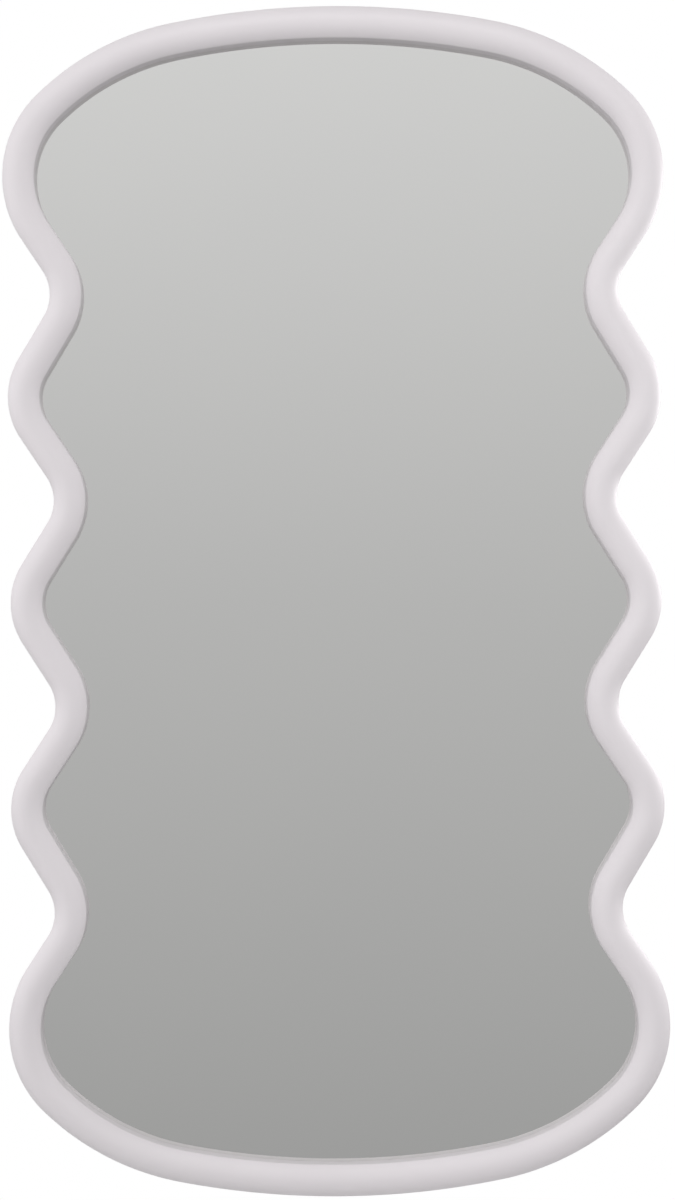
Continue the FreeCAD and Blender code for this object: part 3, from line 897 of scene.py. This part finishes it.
# Brightness by the rise of the direction, from -1 straight down to 1 straight up: what
# glass and metal show, and what lights the surfaces, which has dark bands between the
# ground, the walls and the ceiling
room_levels = ((-1.0, 0.42), (-0.5, 0.4), (-0.24, 0.36), (0.0, 0.505), (0.24, 0.71), (0.4, 0.76),
               (1.0, 0.6))
light_levels = ((-1.0, 0.0), (-0.5, 0.3), (-0.34, 0.0), (-0.24, 0.36), (0.0, 0.5), (0.24, 0.7),
                (0.34, 0.0), (0.46, 0.0), (0.7, 1.0), (1.0, 0.0))

# Name, place, side and watts of each lamp
lamps = (("left_lamp", (-2.16, -0.38, 0.20), 1.0, 21.5), ("top_lamp", (0.0, -1.56, 1.56), 1.0, 13.0),
         ("right_lamp", (0.88, -2.0, 0.1), 1.0, 16.0), ("rim_lamp", (0.9, 0.2, 0.2), 0.5, 4.0),
         ("rear_lamp", (-0.2, 2.0, 0.35), 1.0, 14.0))


def studio_floor():
    """A round matt floor that fades out towards its rim, by distance, so that no edge of it
    shows, also in the mirror."""
    material, tree, place = new_material("studio_floor")
    matt = add(tree, "ShaderNodeBsdfPrincipled", {"Base Color": "#F2F2F2", "Roughness": 0.9})
    far = add(tree, "ShaderNodeVectorMath", {0: place}, operation="LENGTH")
    fade = add(tree, "ShaderNodeMapRange", {"Value": far.outputs["Value"], "From Min": fade_start,
                                            "From Max": fade_end})
    clear = add(tree, "ShaderNodeBsdfTransparent")
    mixed = add(tree, "ShaderNodeMixShader", {0: fade.outputs[0], 1: matt.outputs[0],
                                              2: clear.outputs[0]})
    add(tree, "ShaderNodeOutputMaterial", {"Surface": mixed.outputs[0]})
    return material


def make_floor():
    """A disc at the floor's level: the radius times the cosine and sine of even angles."""
    turn = np.linspace(0, 2 * math.pi, floor_sides, endpoint=False)
    ring = np.stack([np.cos(turn), np.sin(turn), np.zeros(floor_sides)], 1) * floor_radius
    mesh = bpy.data.meshes.new("floor")
    mesh.from_pydata(ring.tolist(), [], [list(range(floor_sides))])
    mesh.materials.append(studio_floor())
    floor = bpy.data.objects.new("floor", mesh)
    floor.location.z = -floor_drop
    bpy.context.scene.collection.objects.link(floor)


def make_room():
    """The room round the mirror: white behind it, as the camera sees it, the grey room for
    what shines, and the lighting levels for the rest."""
    world = bpy.data.worlds.new("studio_room")
    bpy.context.scene.world = world
    world.use_nodes = True
    tree = world.node_tree
    tree.nodes.clear()
    way = add(tree, "ShaderNodeTexCoord").outputs["Generated"]
    parts = add(tree, "ShaderNodeSeparateXYZ", {0: way})
    height = add(tree, "ShaderNodeMapRange", {"Value": parts.outputs["Z"], "From Min": -1.0,
                                              "From Max": 1.0})

    def by_rise(levels):
        """The levels as shares of their peak, which is the background's strength."""
        peak = max(level for _, level in levels)
        grey = add(tree, "ShaderNodeValToRGB", {0: height.outputs[0]},
                   stops=[((rise + 1) / 2, level / peak) for rise, level in levels])
        return add(tree, "ShaderNodeBackground", {"Color": grey.outputs[0], "Strength": peak})

    rays = add(tree, "ShaderNodeLightPath")
    lit = add(tree, "ShaderNodeMixShader", {0: rays.outputs["Is Glossy Ray"],
                                            1: by_rise(light_levels).outputs[0],
                                            2: by_rise(room_levels).outputs[0]})
    seen = add(tree, "ShaderNodeMath", {0: rays.outputs["Is Camera Ray"],
                                        1: rays.outputs["Is Transmission Ray"]}, operation="MAXIMUM")
    white = add(tree, "ShaderNodeBackground", {"Color": "#FFFFFF"})
    mixed = add(tree, "ShaderNodeMixShader", {0: seen.outputs[0], 1: lit.outputs[0],
                                              2: white.outputs[0]})
    add(tree, "ShaderNodeOutputWorld", {"Surface": mixed.outputs[0]})


def make_lamps():
    """Soft square lamps that face the mirror. The glass shows none of them: those in front
    leave no highlights, and those behind its plane are out of its sight."""
    for name, place, size, power in lamps:
        data = bpy.data.lights.new(name, "AREA")
        data.shape = "SQUARE"
        data.size = size
        data.energy = power
        lamp = bpy.data.objects.new(name, data)
        lamp.location = place
        lamp.rotation_euler = (-lamp.location).to_track_quat("-Z", "Y").to_euler()
        lamp.visible_glossy = lamp.location.y > 0
        bpy.context.scene.collection.objects.link(lamp)


# Camera: straight in front of the mirror's middle, turned a little about its own axis, as
# in the photograph, which is 675 by 1200 pixels

photo_width, photo_height = 675, 1200
middle_px = (336.2, 601.2)        # where the mirror's middle lies in the photograph
scale_px = 1322.8                 # pixels per metre at the frame's front
scale_level = -25 * MM            # the Y at which that scale holds
camera_distance = 1.9
camera_roll = math.radians(0.47)
sensor = 36.0                     # the sensor's longer side in millimetres


def make_camera():
    """The lens follows from the scale, and the shift from the middle's place in the photo."""
    middle_x, middle_y = middle_px
    data = bpy.data.cameras.new("camera")
    data.sensor_width = sensor
    data.lens = sensor * scale_px * camera_distance / photo_height
    data.shift_x = (photo_width / 2 - middle_x) / photo_height
    data.shift_y = (middle_y - photo_height / 2) / photo_height
    camera = bpy.data.objects.new("camera", data)
    camera.location = (0, scale_level - camera_distance, 0)
    camera.rotation_euler = (math.pi / 2, camera_roll, 0)
    bpy.context.scene.collection.objects.link(camera)
    bpy.context.scene.camera = camera


make_floor()
make_room()
make_lamps()
make_camera()
bpy.context.scene.view_settings.view_transform = "Standard"
